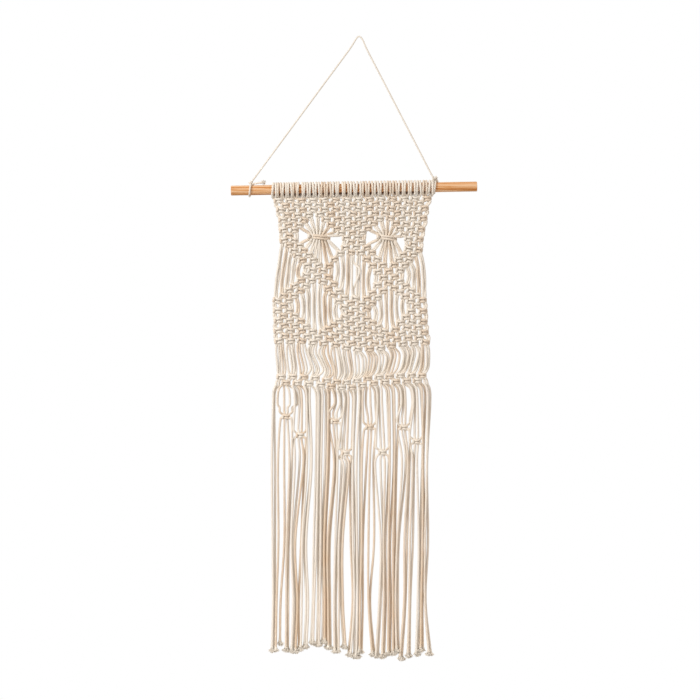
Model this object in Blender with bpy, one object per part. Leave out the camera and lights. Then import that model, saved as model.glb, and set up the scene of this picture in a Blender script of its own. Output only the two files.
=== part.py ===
"""Macrame wall hanging on a dowel, with its hanging cord.

Metres, +Z up, the front faces -Y. The origin is the top of the hanging cord, where a nail
carries it, and the wall is on the +Y side. Fifty-six strands are folded over the dowel as
28 hitches, knotted into a net of alternating square knots with windows, and end in a fringe.
A column is one pair of strands. A row is one row of knots, counted from the dowel.
"""

import math
from collections import namedtuple

import bmesh
import bpy
from mathutils import Matrix, Vector

MM = 0.001
CLEARANCE = 0.3 * MM

# Dowel
DOWEL_LENGTH = 298.0 * MM
DOWEL_RADIUS = 6.0 * MM
DOWEL_MIDDLE = Vector((-6.9 * MM, 0.0, -185.4 * MM))
DOWEL_TILT = math.radians(0.95)
DOWEL_SIDES = 28
DOWEL_EDGE = 0.5 * MM

# Hanging cord and its two ties
CORD_RADIUS = 1.0 * MM
CORD_STEP = 5.3 * MM
LEFT_TIE_X = -133.5 * MM
RIGHT_TIE_X = 92.2 * MM
TIE_RADIUS = 2.3 * MM
TAIL_LENGTH = 18.0 * MM
TIE_SWELL = 1.3
TURN_STEPS = 16
CROWN_REACH = 6.0 * MM

# The hanging cord's own points: shares of each straight side, from its tie, and the crown over
# the nail as parts of its reach, to the right and down.
SIDE_SHARES = (0.0, 0.33, 0.66, 0.9)
Crown = namedtuple("Crown", "right down")
CROWN = (Crown(-0.75, 0.72), Crown(-0.1, 0.17), Crown(0.62, 0.9))

# Net
COLUMNS = 28
PAIR_GAP = 0.9 * MM
NET_HALF = 1.4 * MM
STRAND_HALF = 1.5 * MM
KNOT_FRONT = 3.1 * MM
KNOT_BACK = 2.3 * MM
WAIST_HALF = 3.4 * MM
SAG_COLUMN = 16.0
SAG_WIDTH = 6.0
HITCH_CORD = 2.6 * MM
HITCH_POINTS = 10
HITCH_START = math.radians(-72)
WAIST_ROW_PITCH = 5.0 * MM

# Band and fringe
BAND_SEAM = 0.45 * MM
BAND_HALF = 2.0 * MM
ROOT_HALF = 3.0 * MM
STRAND_RADIUS = 1.1 * MM
LAYER_OFFSET = 1.6 * MM
LAYER_SPACING = 1.35 * MM
LOCK_PITCH = 1.8 * MM
ROOT_ROW = 3.4
SPREAD_PASSES = 200
DANGLE_HALF = Vector((6.6 * MM, 3.6 * MM, 3.6 * MM))

# Each level of the net: its row, the x of both edges, the z of both edges and how far the
# middle hangs below the straight line between them, in millimetres.
Level = namedtuple("Level", "row left right z_left z_right sag")
NET_LEVELS = (
    Level(0, -106.2, 88.8, -196.4, -193.2, 0.0),
    Level(1, -105.3, 87.6, -200.6, -197.2, 0.0),
    Level(3, -102.6, 84.8, -212.0, -208.8, -0.7),
    Level(5, -99.8, 83.3, -224.1, -221.7, -1.3),
    Level(8, -98.0, 79.1, -242.2, -240.8, -3.0),
    Level(10, -97.8, 77.3, -254.3, -253.0, -3.4),
    Level(12, -100.2, 77.9, -266.5, -265.7, -3.6),
    Level(15, -103.5, 81.5, -284.7, -284.1, 2.4),
    Level(18, -105.3, 82.1, -302.8, -302.2, 11.0),
    Level(21, -106.0, 82.1, -321.0, -320.4, 10.5),
    Level(25, -105.6, 83.3, -345.2, -346.5, 9.4),
    Level(29, -104.7, 86.4, -369.5, -371.3, 9.2),
    Level(30, -104.4, 86.5, -375.0, -377.0, 9.0),
    Level(31, -105.0, 85.8, -392.5, -392.5, 8.0),
    Level(32, -103.6, 85.0, -410.2, -408.2, 7.0),
)
NET_ROWS = 29

# The knots that each window leaves out: a row, then the first and last column line.
LeftOut = namedtuple("LeftOut", "row first last")
WINDOWS = {
    "left eye": (LeftOut(5, 7, 7), LeftOut(6, 6, 8), LeftOut(7, 5, 9), LeftOut(8, 4, 10),
                 LeftOut(9, 5, 11), LeftOut(10, 6, 12), LeftOut(11, 7, 11),
                 LeftOut(12, 8, 10), LeftOut(13, 9, 9)),
    "right eye": (LeftOut(6, 20, 20), LeftOut(7, 19, 21), LeftOut(8, 18, 22),
                  LeftOut(9, 17, 23), LeftOut(10, 18, 24), LeftOut(11, 19, 23),
                  LeftOut(12, 20, 22), LeftOut(13, 21, 21)),
    "left side": (LeftOut(11, 1, 1), LeftOut(12, 2, 2), LeftOut(13, 1, 3), LeftOut(14, 2, 4),
                  LeftOut(15, 1, 5), LeftOut(16, 2, 4), LeftOut(17, 1, 3), LeftOut(18, 2, 2),
                  LeftOut(19, 1, 1)),
    "right side": (LeftOut(13, 27, 27), LeftOut(14, 26, 26), LeftOut(15, 25, 27),
                   LeftOut(16, 24, 26), LeftOut(17, 25, 27), LeftOut(18, 26, 26),
                   LeftOut(19, 27, 27)),
    "middle": (LeftOut(13, 13, 15), LeftOut(14, 12, 16), LeftOut(15, 11, 17),
               LeftOut(16, 12, 18), LeftOut(17, 13, 17), LeftOut(18, 14, 16)),
    "lower left": (LeftOut(18, 8, 8), LeftOut(19, 7, 9), LeftOut(20, 6, 10),
                   LeftOut(21, 5, 11), LeftOut(22, 4, 12), LeftOut(23, 5, 11),
                   LeftOut(24, 6, 10), LeftOut(25, 7, 9), LeftOut(26, 8, 8)),
    "lower right": (LeftOut(19, 21, 21), LeftOut(20, 20, 22), LeftOut(21, 19, 23),
                    LeftOut(22, 18, 24), LeftOut(23, 19, 23), LeftOut(24, 20, 22),
                    LeftOut(25, 21, 21)),
}

# The two eyes, whose strands are gathered at a waist, in millimetres.
Eye = namedtuple("Eye", "first last left right z_left z_right")
EYE_ROW = 9
EYE_STEPS = (8.75, 9.25)
EYES = (Eye(4, 12, -59.0, -38.4, -243.0, -245.6), Eye(17, 24, 25.8, 45.2, -243.6, -246.4))

# The band of two rows of knots under the net, in millimetres.
BAND_SAG_COLUMN = 12.5
BAND_SAG_WIDTH = 5.0
BAND_LEVELS = (
    Level(0, -103.6, 85.0, -410.6, -408.6, 7.0),
    Level(1, -103.6, 85.0, -413.7, -411.3, 7.2),
    Level(2, -103.8, 85.0, -417.0, -414.8, 7.2),
    Level(3, -103.8, 85.0, -420.3, -418.3, 7.2),
    Level(4, -104.0, 85.0, -423.6, -421.6, 7.0),
)

# The square knots tied in the fringe: the column line that carries each, and its place.
# Their strands are drawn together at two heights.
Dangle = namedtuple("Dangle", "column x z")
DANGLE_HEIGHTS = (-468.0, -495.0)
DANGLE_REACH = 14.0
DANGLE_PITCH = 2.4
DANGLES = (Dangle(2, -89.3, -461.7), Dangle(4, -72.3, -484.4), Dangle(11, -29.9, -467.6),
           Dangle(13, -17.3, -505.8), Dangle(17, 12.1, -474.3), Dangle(19, 27.5, -505.0),
           Dangle(23, 53.2, -475.0), Dangle(25, 68.6, -491.8))

# Locks of the fringe from left to right: strands, their x at two heights and where they end.
Lock = namedtuple("Lock", "strands upper knee end z_end")
UPPER_Z = -611.0
KNEE_Z = -684.0
LOCKS = (
    Lock(3, -104.0, -102.3, -104.4, -746.0), Lock(2, -93.5, -95.2, -96.0, -738.0),
    Lock(3, -86.0, -87.0, -87.0, -745.5), Lock(3, -78.5, -77.0, -79.0, -747.0),
    Lock(2, -70.5, -72.0, -71.5, -744.5), Lock(2, -62.6, -63.3, -65.0, -741.5),
    Lock(1, -53.0, -56.5, -58.3, -737.0), Lock(2, -48.8, -49.4, -50.5, -739.0),
    Lock(2, -44.0, -43.8, -43.2, -736.0), Lock(2, -37.2, -38.6, -37.8, -742.5),
    Lock(3, -27.0, -28.5, -28.0, -746.5), Lock(2, -21.5, -21.8, -18.5, -742.0),
    Lock(2, -9.3, -7.8, -12.0, -751.5), Lock(3, -3.2, -2.8, -4.2, -753.5),
    Lock(2, 3.2, 2.0, 1.2, -748.0), Lock(1, 11.2, 10.0, 14.8, -751.0),
    Lock(1, 16.7, 13.4, 17.3, -750.0), Lock(2, 26.6, 25.0, 21.0, -752.5),
    Lock(3, 30.6, 29.8, 28.4, -753.5), Lock(3, 36.4, 35.6, 35.6, -750.0),
    Lock(2, 41.8, 41.4, 41.6, -749.5), Lock(2, 46.0, 45.4, 45.8, -746.5),
    Lock(2, 56.0, 54.4, 50.0, -756.0), Lock(2, 62.6, 60.8, 59.4, -752.5),
    Lock(2, 72.6, 71.4, 69.6, -750.5), Lock(2, 77.0, 76.0, 75.2, -745.5),
    Lock(2, 80.8, 79.4, 84.6, -750.0),
)


def clear_scene():
    """Remove the objects that a new scene starts with."""
    for thing in list(bpy.data.objects):
        bpy.data.objects.remove(thing, do_unlink=True)


def material(name, colour, roughness):
    """Return a Principled material of one colour."""
    finish = bpy.data.materials.new(name)
    finish.use_nodes = True
    shader = finish.node_tree.nodes["Principled BSDF"]
    shader.inputs["Base Color"].default_value = (*colour, 1.0)
    shader.inputs["Roughness"].default_value = roughness
    return finish


def add_object(name, mesh, finish):
    """Link a mesh to the scene as an object with one material."""
    thing = bpy.data.objects.new(name, mesh)
    bpy.context.collection.objects.link(thing)
    mesh.materials.append(finish)
    return thing


def finished_mesh(name, bm):
    """Turn a bmesh into a mesh and free it."""
    mesh = bpy.data.meshes.new(name)
    bm.to_mesh(mesh)
    bm.free()
    return mesh


def dowel_centre(x):
    """Return the z of the dowel's axis at x."""
    return DOWEL_MIDDLE.z + (x - DOWEL_MIDDLE.x) * math.tan(DOWEL_TILT)


# ---------------------------------------------------------------- the net's lattice

def knot_rows(windows):
    """Return the set of (column line, row) sites that the windows leave without a knot."""
    omitted = set()
    for rows in windows.values():
        for part in rows:
            omitted.update((line, part.row) for line in range(part.first, part.last + 1, 2))
    return omitted


OMITTED = knot_rows(WINDOWS)


def is_site(line, row):
    """Tell whether a square knot could sit where a column line meets a row."""
    return 0 < line < COLUMNS and 1 <= row <= NET_ROWS and (line - row) % 2 == 0


def has_knot(line, row):
    """Tell whether a square knot sits there."""
    return is_site(line, row) and (line, row) not in OMITTED


def in_waist(line, row):
    """Tell whether a column line is gathered inside an eye's waist."""
    return row == EYE_ROW and any(eye.first < line < eye.last for eye in EYES)


def parted(line, row):
    """Tell whether the pairs of strands on both sides of a column line stand apart."""
    if row < 1 or row > NET_ROWS:
        return True
    if in_waist(line, row):
        return False
    if is_site(line, row):
        return (line, row) in OMITTED
    return (line - 1, row) in OMITTED or (line + 1, row) in OMITTED


def joined(line, row):
    """Tell whether the two pairs are one at this row, and over more than a single point."""
    if parted(line, row):
        return False
    return row == EYE_ROW or not (parted(line, row - 1) and parted(line, row + 1))


def level_at(levels, row):
    """Read the table of levels at any row, straight between its lines."""
    for upper, lower in zip(levels, levels[1:]):
        if row <= lower.row:
            share = (row - upper.row) / (lower.row - upper.row)
            return Level(*(a + (b - a) * share for a, b in zip(upper, lower)))
    return levels[-1]


def lattice_point(levels, line, row, sag_column, sag_width):
    """Return x and z in metres where a column line meets a row."""
    level = level_at(levels, row)
    share = line / COLUMNS
    sag = level.sag * math.exp(-((line - sag_column) / sag_width) ** 2)
    x = level.left + (level.right - level.left) * share
    z = level.z_left + (level.z_right - level.z_left) * share - sag
    return x * MM, z * MM


def held(column, row):
    """Tell whether a knot holds the pair of strands in a column at a row."""
    line = column if (column - row) % 2 == 0 else column + 1
    return has_knot(line, row)


def gather(column, line, row, x, z):
    """Draw a point of a free pair towards the waist of the eye that it crosses."""
    for eye in EYES:
        if not eye.first <= column < eye.last:
            continue
        top = max(r for r in range(1, EYE_ROW) if held(column, r))
        bottom = min(r for r in range(EYE_ROW + 1, NET_ROWS) if held(column, r))
        if not top < row < bottom:
            continue
        upper, lower = EYE_STEPS
        if row <= upper:
            pull = (row - top) / (upper - top)
        elif row >= lower:
            pull = (bottom - row) / (bottom - lower)
        else:
            pull = 1.0
        share = (line - eye.first) / (eye.last - eye.first)
        waist_x = (eye.left + (eye.right - eye.left) * share) * MM
        waist_z = (eye.z_left + (eye.z_right - eye.z_left) * share) * MM
        waist_z += (EYE_ROW - row) * WAIST_ROW_PITCH if row in EYE_STEPS else 0.0
        return x + (waist_x - x) * pull, z + (waist_z - z) * pull
    return x, z


def net_point(column, line, row):
    """Return the key, place and half thicknesses of a corner of a column's strip."""
    whole_row = EYE_ROW if row in EYE_STEPS else row
    if row == NET_LEVELS[-1].row:
        x, z = lattice_point(BAND_LEVELS, line, 0, BAND_SAG_COLUMN, BAND_SAG_WIDTH)
        z += BAND_SEAM
    else:
        x, z = lattice_point(NET_LEVELS, line, row, SAG_COLUMN, SAG_WIDTH)
    outer = line in (0, COLUMNS)
    shared = not outer and joined(line, whole_row)
    if not shared and not outer:
        x += PAIR_GAP / 2 if line == column else -PAIR_GAP / 2
    x, z = gather(column, line, row, x, z)
    if in_waist(line, whole_row):
        front = back = WAIST_HALF
    elif has_knot(line, whole_row):
        front, back = KNOT_FRONT, KNOT_BACK
    elif shared:
        front = back = NET_HALF
    else:
        front = back = STRAND_HALF
    key = (line, row) if shared or outer else (line, row, column)
    return key, x, z, front, back


def band_point(column, line, row):
    """Return the key, place and half thicknesses of a corner of the band."""
    x, z = lattice_point(BAND_LEVELS, line, row, BAND_SAG_COLUMN, BAND_SAG_WIDTH)
    on_knot = row in (1, 3) and (line - row) % 2 == 0
    front, back = (KNOT_FRONT, KNOT_BACK) if on_knot else (BAND_HALF, BAND_HALF)
    if row == BAND_LEVELS[-1].row:
        front = back = ROOT_HALF
    return (line, row), x, z, front, back


# ---------------------------------------------------------------- cloth meshes

def cloth_strips(bm, corner, rows):
    """Add the front, the back and the edges of a net, and return its corners by key."""
    points = {}
    quads = []
    for column in range(COLUMNS):
        for upper, lower in zip(rows, rows[1:]):
            keys = []
            for line, row in ((column, lower), (column + 1, lower),
                              (column + 1, upper), (column, upper)):
                key, x, z, front, back = corner(column, line, row)
                if key not in points:
                    points[key] = (bm.verts.new((x, -front, z)), bm.verts.new((x, back, z)))
                keys.append(key)
            quads.append(keys)
    for keys in quads:
        bm.faces.new([points[key][0] for key in keys])
        bm.faces.new([points[key][1] for key in reversed(keys)])
    return points, quads


def close_edges(bm, points, quads, skipped):
    """Wall each edge that only one strip has, apart from the skipped ones."""
    edges = {(keys[i], keys[(i + 1) % 4]) for keys in quads for i in range(4)}
    for start, end in edges:
        if (end, start) in edges or (start, end) in skipped:
            continue
        bm.faces.new((points[end][0], points[start][0], points[start][1], points[end][1]))


def hitch(bm, left, right):
    """Add one hitch: a pair of strands that leaves the net, rounds the dowel and returns."""
    step = 2 * math.pi / HITCH_POINTS
    inner_radius = (DOWEL_RADIUS + CLEARANCE) / math.cos(step / 2)
    rims = []
    for front, back in (left, right):
        x, centre = front.co.x, dowel_centre(front.co.x)
        angles = [HITCH_START + step * k for k in range(HITCH_POINTS)]
        outer = [front]
        for angle in angles[1:-1]:
            reach = inner_radius + HITCH_CORD
            outer.append(bm.verts.new((x, -reach * math.cos(angle),
                                       centre + reach * math.sin(angle))))
        outer.append(back)
        inner = [bm.verts.new((x, -inner_radius * math.cos(angle),
                               centre + inner_radius * math.sin(angle))) for angle in angles]
        rims.append((outer, inner))
    (left_out, left_in), (right_out, right_in) = rims
    for k in range(HITCH_POINTS):
        n = (k + 1) % HITCH_POINTS
        if n:
            bm.faces.new((left_out[k], right_out[k], right_out[n], left_out[n]))
        bm.faces.new((left_out[k], left_out[n], left_in[n], left_in[k]))
        bm.faces.new((right_out[n], right_out[k], right_in[k], right_in[n]))
        bm.faces.new((left_in[k], left_in[n], right_in[n], right_in[k]))


def build_net(finish):
    """Build the hitches, the knotted net, its free strands and the strands under it."""
    rows = [r for r in range(NET_LEVELS[-1].row + 1) if r != EYE_ROW] + list(EYE_STEPS)
    rows.sort()
    bm = bmesh.new()
    points, quads = cloth_strips(bm, net_point, rows)
    top_edges = set()
    for column in range(COLUMNS):
        left = net_point(column, column, 0)[0]
        right = net_point(column, column + 1, 0)[0]
        top_edges.add((right, left))
        hitch(bm, points[left], points[right])
    close_edges(bm, points, quads, top_edges)
    return add_object("knotted_panel", finished_mesh("knotted_panel", bm), finish)


# ---------------------------------------------------------------- fringe

def spread(places, spacing):
    """Move a row of places apart, keeping their order, until none is nearer than spacing."""
    places = list(places)
    for _ in range(SPREAD_PASSES):
        for i in range(len(places) - 1):
            lack = spacing - (places[i + 1] - places[i])
            if lack > 0:
                places[i] -= lack / 2
                places[i + 1] += lack / 2
    return places


def lock_places(height):
    """Return the x of all strands at one height of the locks' table."""
    places = []
    for lock in LOCKS:
        middle = getattr(lock, height) * MM
        for k in range(lock.strands):
            places.append(middle + (k - (lock.strands - 1) / 2) * LOCK_PITCH)
    return spread(places, LAYER_SPACING)


def knotted_places(height, roots, uppers):
    """Return the x of all strands at a height where some of them pass a square knot."""
    top = BAND_LEVELS[-1].z_left
    share = (height - top) / (UPPER_Z - top)
    places = [root + (upper - root) * share for root, upper in zip(roots, uppers)]
    for dangle in DANGLES:
        if abs(dangle.z - height) > DANGLE_REACH:
            continue
        for k in range(4):
            places[2 * dangle.column - 2 + k] = (dangle.x + (k - 1.5) * DANGLE_PITCH) * MM
    return spread(places, LAYER_SPACING)


def add_strand(bm, route, depth):
    """Add one four-sided strand whose sections are level, through (x, z) points."""
    rings = []
    for x, z in route:
        ring = [bm.verts.new((x + dx * STRAND_RADIUS, depth + dy * STRAND_RADIUS, z))
                for dx, dy in ((-1, -1), (1, -1), (1, 1), (-1, 1))]
        rings.append(ring)
    for upper, lower in zip(rings, rings[1:]):
        for i in range(4):
            n = (i + 1) % 4
            bm.faces.new((lower[i], lower[n], upper[n], upper[i]))
    bm.faces.new(rings[0])
    bm.faces.new(list(reversed(rings[-1])))


def union(base, name, bm):
    """Join a bmesh to the base with a Boolean union, through a hidden helper object."""
    helper = bpy.data.objects.new(name, finished_mesh(name, bm))
    bpy.context.collection.objects.link(helper)
    helper.hide_render = True
    helper.display_type = "WIRE"
    join = base.modifiers.new(name, "BOOLEAN")
    join.operation = "UNION"
    join.object = helper


def build_fringe(finish):
    """Build the band of knots with its 56 strands and the square knots tied in them."""
    bm = bmesh.new()
    rows = [level.row for level in BAND_LEVELS]
    points, quads = cloth_strips(bm, band_point, rows)
    close_edges(bm, points, quads, set())
    fringe = add_object("fringe", finished_mesh("fringe", bm), finish)

    strands = 2 * COLUMNS
    roots = []
    for strand in range(strands):
        line = (strand + 0.5) / 2
        roots.append(lattice_point(BAND_LEVELS, line, ROOT_ROW, BAND_SAG_COLUMN, BAND_SAG_WIDTH))
    uppers, knees, ends = (lock_places(height) for height in ("upper", "knee", "end"))
    tips = [lock.z_end * MM for lock in LOCKS for _ in range(lock.strands)]
    root_places = [x for x, _ in roots]
    stages = [(knotted_places(z, root_places, uppers), z * MM) for z in DANGLE_HEIGHTS]
    stages += [(uppers, UPPER_Z * MM), (knees, KNEE_Z * MM)]
    bm = bmesh.new()
    for strand in range(strands):
        route = [roots[strand]]
        route += [(places[strand], z) for places, z in stages]
        route.append((ends[strand], tips[strand]))
        add_strand(bm, route, LAYER_OFFSET if strand % 2 else -LAYER_OFFSET)
    union(fringe, "strands", bm)

    bm = bmesh.new()
    for dangle in DANGLES:
        place = Matrix.Translation((dangle.x * MM, 0.0, dangle.z * MM))
        place = place @ Matrix.Diagonal((*DANGLE_HALF, 1.0))
        bmesh.ops.create_uvsphere(bm, u_segments=8, v_segments=5, radius=1.0, matrix=place)
    union(fringe, "square_knots", bm)
    return fringe


# ---------------------------------------------------------------- dowel, cord and ties

def build_dowel(finish):
    """Build the wooden dowel, its ends slightly rounded."""
    bm = bmesh.new()
    bmesh.ops.create_cone(bm, cap_ends=True, segments=DOWEL_SIDES, radius1=DOWEL_RADIUS,
                          radius2=DOWEL_RADIUS, depth=DOWEL_LENGTH)
    dowel = add_object("dowel", finished_mesh("dowel", bm), finish)
    dowel.location = DOWEL_MIDDLE
    dowel.rotation_euler = (0.0, math.pi / 2 - DOWEL_TILT, 0.0)
    rounding = dowel.modifiers.new("rounded ends", "BEVEL")
    rounding.width = DOWEL_EDGE
    rounding.segments = 2
    rounding.limit_method = "ANGLE"
    dowel.data.shade_smooth()
    dowel.data.set_sharp_from_angle(angle=math.radians(40))
    return dowel


def tie_centre(x):
    """Return the middle of a tie's knot, which sits on top of the dowel."""
    return Vector((x, 0.0, dowel_centre(x) + DOWEL_RADIUS + CLEARANCE + TIE_RADIUS))


def build_tie(name, x, tail, finish):
    """Build one end of the cord: a turn round the dowel, its knot and, on one side, a tail."""
    bm = bmesh.new()
    radius = DOWEL_RADIUS + CLEARANCE + TIE_SWELL * CORD_RADIUS
    sides = 8
    for k in range(sides):
        angle = 2 * math.pi * k / sides
        bm.verts.new((x + CORD_RADIUS * math.cos(angle), 0.0,
                      dowel_centre(x) + radius + CORD_RADIUS * math.sin(angle)))
    bm.verts.ensure_lookup_table()
    edges = [bm.edges.new((bm.verts[k - 1], bm.verts[k])) for k in range(sides)]
    axis = Vector((math.cos(DOWEL_TILT), 0.0, math.sin(DOWEL_TILT)))
    bmesh.ops.spin(bm, geom=edges, cent=(x, 0.0, dowel_centre(x)), axis=axis,
                   angle=2 * math.pi, steps=TURN_STEPS, use_merge=True)
    bmesh.ops.remove_doubles(bm, verts=bm.verts, dist=1e-6)
    bmesh.ops.recalc_face_normals(bm, faces=bm.faces)
    tie = add_object(name, finished_mesh(name, bm), finish)
    bm = bmesh.new()
    centre = tie_centre(x)
    bmesh.ops.create_uvsphere(bm, u_segments=10, v_segments=7, radius=TIE_RADIUS,
                              matrix=Matrix.Translation(centre))
    union(tie, name + "_ball", bm)
    if tail:
        bm = bmesh.new()
        lean = Matrix.Rotation(math.pi / 2 - DOWEL_TILT, 4, "Y")
        middle = centre + axis * tail / 2
        bmesh.ops.create_cone(bm, cap_ends=True, segments=8, radius1=CORD_RADIUS,
                              radius2=TIE_SWELL * CORD_RADIUS, depth=tail,
                              matrix=Matrix.Translation(middle) @ lean)
        union(tie, name + "_tail", bm)
    return tie


def cord_route():
    """Return the cord's own points: taut from the left tie to the nail and down again."""
    left, right = tie_centre(LEFT_TIE_X), tie_centre(RIGHT_TIE_X)
    nail = Vector((0.0, 0.0, 0.0))
    lift = TIE_RADIUS + CLEARANCE
    start = left + (nail - left).normalized() * lift
    end = right + (nail - right).normalized() * lift
    rise = [start.lerp(nail, share) for share in SIDE_SHARES]
    fall = [end.lerp(nail, share) for share in reversed(SIDE_SHARES)]
    crown = [Vector((point.right, 0.0, -point.down)) * CROWN_REACH for point in CROWN]
    return rise + crown + fall


def catmull_rom(points, step):
    """Return points about a step apart on a smooth curve through the given points."""
    padded = [2 * points[0] - points[1], *points, 2 * points[-1] - points[-2]]
    curve = [points[0]]
    for a, b, c, d in zip(padded, padded[1:], padded[2:], padded[3:]):
        count = max(2, round((c - b).length / step))
        for k in range(1, count + 1):
            t = k / count
            curve.append(0.5 * (2 * b + (c - a) * t + (2 * a - 5 * b + 4 * c - d) * t ** 2
                                + (3 * b - a - 3 * c + d) * t ** 3))
    return curve


def build_cord(finish):
    """Build the hanging cord as a tube along its smooth route."""
    shape = bpy.data.curves.new("hanger_cord", "CURVE")
    shape.dimensions = "3D"
    shape.bevel_depth = CORD_RADIUS
    shape.bevel_resolution = 2
    shape.use_fill_caps = True
    places = catmull_rom(cord_route(), CORD_STEP)
    spline = shape.splines.new("POLY")
    spline.points.add(len(places) - 1)
    for point, place in zip(spline.points, places):
        point.co = (*place, 1.0)
    return add_object("hanger_cord", shape, finish)


def main():
    """Build the whole wall hanging."""
    clear_scene()
    wood = material("pine", (0.62, 0.36, 0.17), 0.55)
    cotton = material("cotton cord", (0.80, 0.70, 0.58), 0.9)
    build_dowel(wood)
    build_cord(cotton)
    build_tie("hanger_knot_left", LEFT_TIE_X, TAIL_LENGTH, cotton)
    build_tie("hanger_knot_right", RIGHT_TIE_X, 0.0, cotton)
    build_net(cotton)
    build_fringe(cotton)


main()
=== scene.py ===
"""Looks of a macrame wall hanging: a dowel, its hanging cord and 28 knotted cotton cords.

Every cord is laid out as one path through its hitch and its knots, from one cut end to the
other, and a Geometry Nodes tree twists three plies along it. Lengths are in metres, and in
millimetres in the tables.
"""

import logging
import math
import random
from dataclasses import dataclass, field
from enum import Enum
from functools import partial
from itertools import accumulate
from typing import Any, Callable, Iterable, NamedTuple, Sequence

import bpy
from mathutils import Matrix, Vector

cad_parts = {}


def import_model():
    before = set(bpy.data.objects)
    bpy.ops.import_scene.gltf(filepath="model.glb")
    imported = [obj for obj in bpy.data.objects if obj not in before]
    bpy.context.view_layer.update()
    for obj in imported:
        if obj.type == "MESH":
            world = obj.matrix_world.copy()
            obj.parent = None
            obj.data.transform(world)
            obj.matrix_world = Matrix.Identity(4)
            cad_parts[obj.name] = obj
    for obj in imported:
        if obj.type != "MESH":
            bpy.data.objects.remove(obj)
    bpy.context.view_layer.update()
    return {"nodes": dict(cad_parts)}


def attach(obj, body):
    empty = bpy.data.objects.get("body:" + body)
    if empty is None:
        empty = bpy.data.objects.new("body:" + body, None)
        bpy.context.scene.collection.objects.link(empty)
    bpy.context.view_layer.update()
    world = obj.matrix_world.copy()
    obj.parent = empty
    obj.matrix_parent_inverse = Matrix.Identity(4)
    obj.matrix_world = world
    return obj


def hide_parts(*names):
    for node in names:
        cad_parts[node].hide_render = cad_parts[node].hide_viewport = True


LOG = logging.getLogger("macrame")
MM = 0.001
BODY = "root"
PLIES = 3
ROLL_SEED = 7000
Places = tuple[tuple[float, float, float], ...]
AddNode = Callable[..., bpy.types.Node]


# ------------------------------------------------------------------ layout tables (mm)

class Level(NamedTuple):
    """One level of a net: both edges, their heights and the sag of the middle."""

    row: float
    left: float
    right: float
    z_left: float
    z_right: float
    sag: float


class Window(NamedTuple):
    """A window of the net: its top row, and the first and last knot that each row lacks."""

    top: int
    firsts: tuple[int, ...]
    lasts: tuple[int, ...]


class Eye(NamedTuple):
    """A gathered window: its columns and the waist that they are drawn to."""

    first: int
    last: int
    left: float
    right: float
    z_left: float
    z_right: float


class Dangle(NamedTuple):
    """A square knot tied in the fringe: its column line and place."""

    column: int
    x: float
    z: float


class Lock(NamedTuple):
    """A lock of the fringe: its strands, their x at two heights and their ends."""

    strands: int
    upper: float
    knee: float
    end: float
    z_end: float


class Fall(NamedTuple):
    """Where the two ends of one cord hang, at two heights below the band."""

    upper_left: float
    upper_right: float
    lower_left: float
    lower_right: float


class Slit(NamedTuple):
    """A slit between the free strands under the net: where it is, at two heights."""

    strand: int
    upper: float
    lower: float


class Tie(NamedTuple):
    """One tied end of the hanging cord."""

    name: str
    node: str
    x: float
    tail: float
    rise: float
    lean: float
    turns: int
    points_to: tuple[float, float, float]
    brush: float


class HitchRun(NamedTuple):
    """A run of hitches set at one pitch."""

    count: int
    pitch: float


NET_LEVELS = tuple(Level(*row) for row in (
    (0, -106.2, 88.8, -196.4, -193.2, 0.0), (1, -105.3, 87.6, -200.6, -197.2, 0.0),
    (3, -102.6, 84.8, -212.0, -208.8, -0.7), (5, -99.8, 83.3, -224.1, -221.7, -1.3),
    (8, -98.0, 79.1, -242.2, -240.8, -3.0), (10, -97.8, 77.3, -254.3, -253.0, -3.4),
    (12, -100.2, 77.9, -266.5, -265.7, -3.6), (15, -103.5, 81.5, -284.7, -284.1, 2.4),
    (18, -105.3, 82.1, -302.8, -302.2, 11.0), (21, -106.0, 82.1, -321.0, -320.4, 10.5),
    (25, -105.6, 83.3, -345.2, -346.5, 9.4), (29, -104.7, 86.4, -369.5, -371.3, 9.2),
    (30, -104.4, 86.5, -375.0, -377.0, 9.0)))
BAND_LEVELS = tuple(Level(*row) for row in (
    (0, -101.8, 82.2, -410.6, -408.6, 7.0), (1, -101.8, 82.2, -413.7, -411.3, 7.2),
    (2, -102.2, 82.6, -417.0, -414.8, 7.2), (3, -102.8, 83.2, -420.3, -418.3, 7.2),
    (4, -103.6, 84.0, -423.6, -421.6, 7.0)))
# The two eyes, the sides, the middle and the two below it.
WINDOWS = (
    Window(5, (7, 6, 5, 4, 5, 6, 7, 8, 9), (7, 8, 9, 10, 11, 12, 11, 10, 9)),
    Window(6, (20, 19, 18, 17, 18, 19, 20, 21), (20, 21, 22, 23, 24, 23, 22, 21)),
    Window(11, (1, 2, 1, 2, 1, 2, 1, 2, 1), (1, 2, 3, 4, 5, 4, 3, 2, 1)),
    Window(13, (27, 26, 25, 24, 25, 26, 27), (27, 26, 27, 26, 27, 26, 27)),
    Window(13, (13, 12, 11, 12, 13, 14), (15, 16, 17, 18, 17, 16)),
    Window(18, (8, 7, 6, 5, 4, 5, 6, 7, 8), (8, 9, 10, 11, 12, 11, 10, 9, 8)),
    Window(19, (21, 20, 19, 18, 19, 20, 21), (21, 22, 23, 24, 23, 22, 21)),
)
EYES = (Eye(4, 12, -61.5, -37.2, -243.0, -245.6), Eye(17, 24, 22.0, 43.6, -243.6, -246.4))
EYE_ROW = 9
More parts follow.
